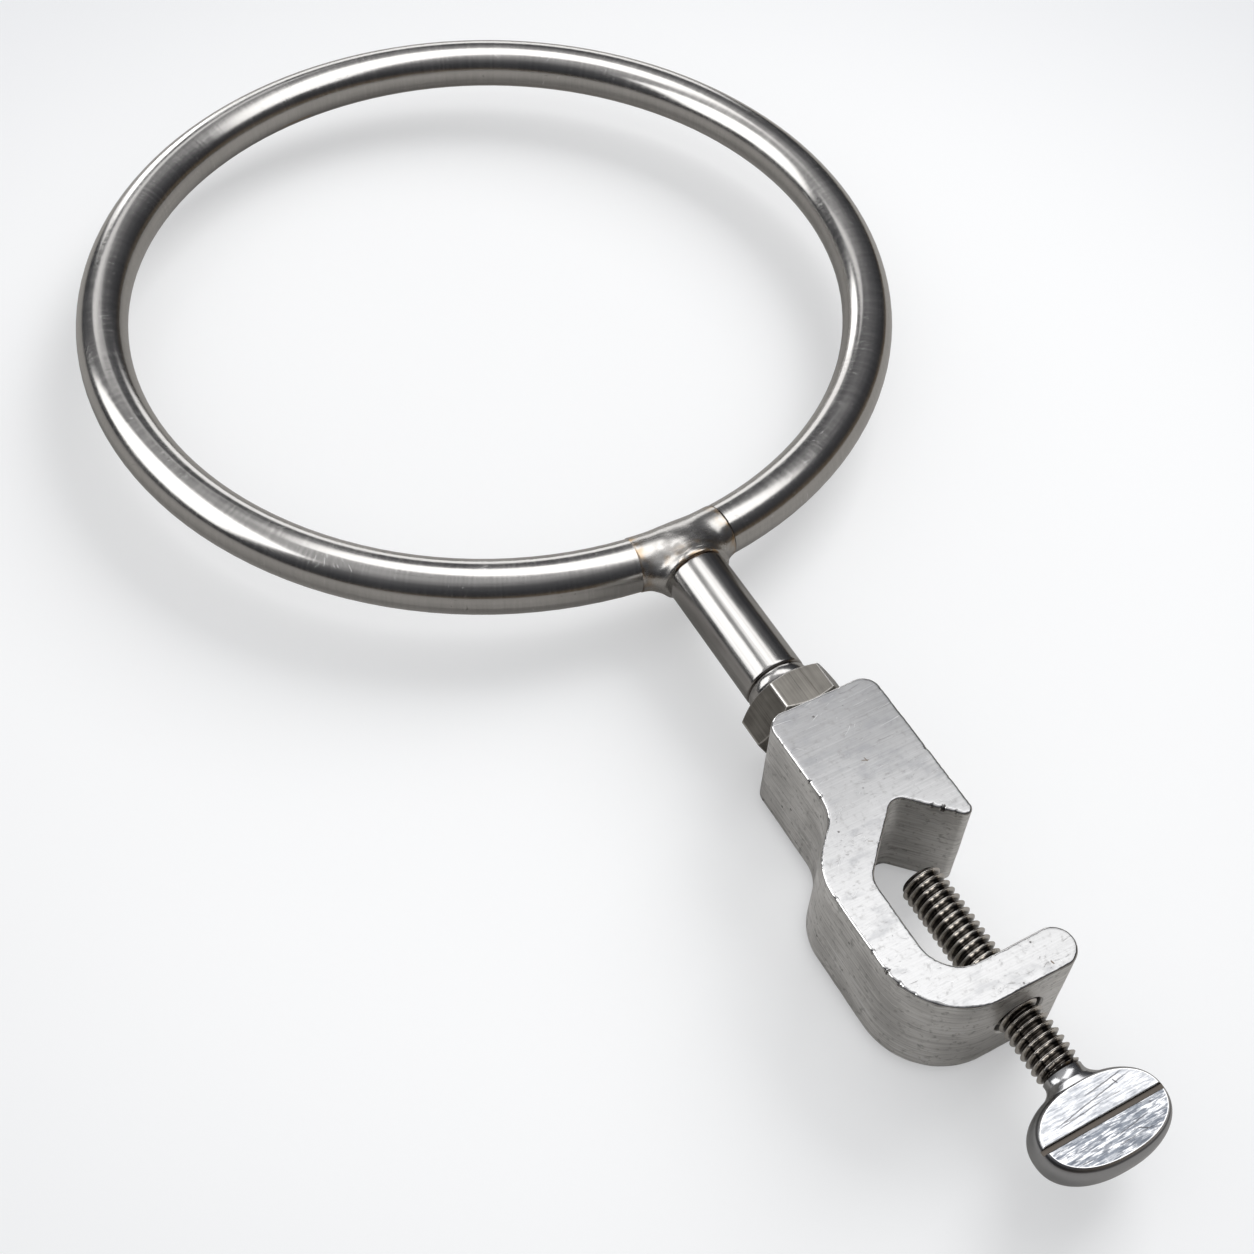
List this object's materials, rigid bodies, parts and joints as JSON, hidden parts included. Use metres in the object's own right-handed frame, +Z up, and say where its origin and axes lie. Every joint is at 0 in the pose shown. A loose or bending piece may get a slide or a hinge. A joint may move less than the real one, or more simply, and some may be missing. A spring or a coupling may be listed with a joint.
{
  "type": "support ring clamp",
  "caption": "Steel support ring on a short stem, fixed by a lock nut to a rod clamp with a V jaw and a thumb screw, for holding round vessels on a laboratory stand.",
  "frame": {"origin": "centre of the ring, in the ring's mid-plane", "axes": "+X along the stem from the ring to the clamp, +Z up out of the ring's plane, along the stand's rod"},
  "size_m": [0.3018, 0.1708, 0.0216],
  "materials": {
    "ring_steel": "polished stainless bar, fine brushing across the bar",
    "tee_steel": "polished stainless with light brown heat tint at the welds",
    "stem_steel": "turned and polished stainless",
    "nut_steel": "satin steel, brushed faces",
    "clamp_aluminium": "cast aluminium, linished faces, worn edges",
    "screw_steel": "dark plated steel, rolled thread",
    "head_aluminium": "cast aluminium, scuffed bright faces"
  },
  "bodies": {
    "holder": {"support_ring": "ring_steel", "weld_tee": "tee_steel", "stem_rod": "stem_steel", "lock_nut": "nut_steel", "clamp_body": "clamp_aluminium"},
    "screw_rod": {"clamp_screw": "screw_steel"},
    "thumb_grip": {"thumb_head": "head_aluminium"}
  },
  "joints": [
    {"name": "screw_travel", "type": "slide", "parent": "holder", "child": "screw_rod", "axis": [1, 0, 0], "range_m": [-0.00745, 0.0202]},
    {"name": "thumb_turn", "type": "hinge", "parent": "screw_rod", "child": "thumb_grip", "pos_m": [0.2089, 0, 0], "axis": [1, 0, 0], "range_deg": [-1890, 5130]}
  ],
  "couplings": [
    {"joint": "screw_travel", "follows": "thumb_turn", "m_per_rad": 0.00022459}
  ]
}
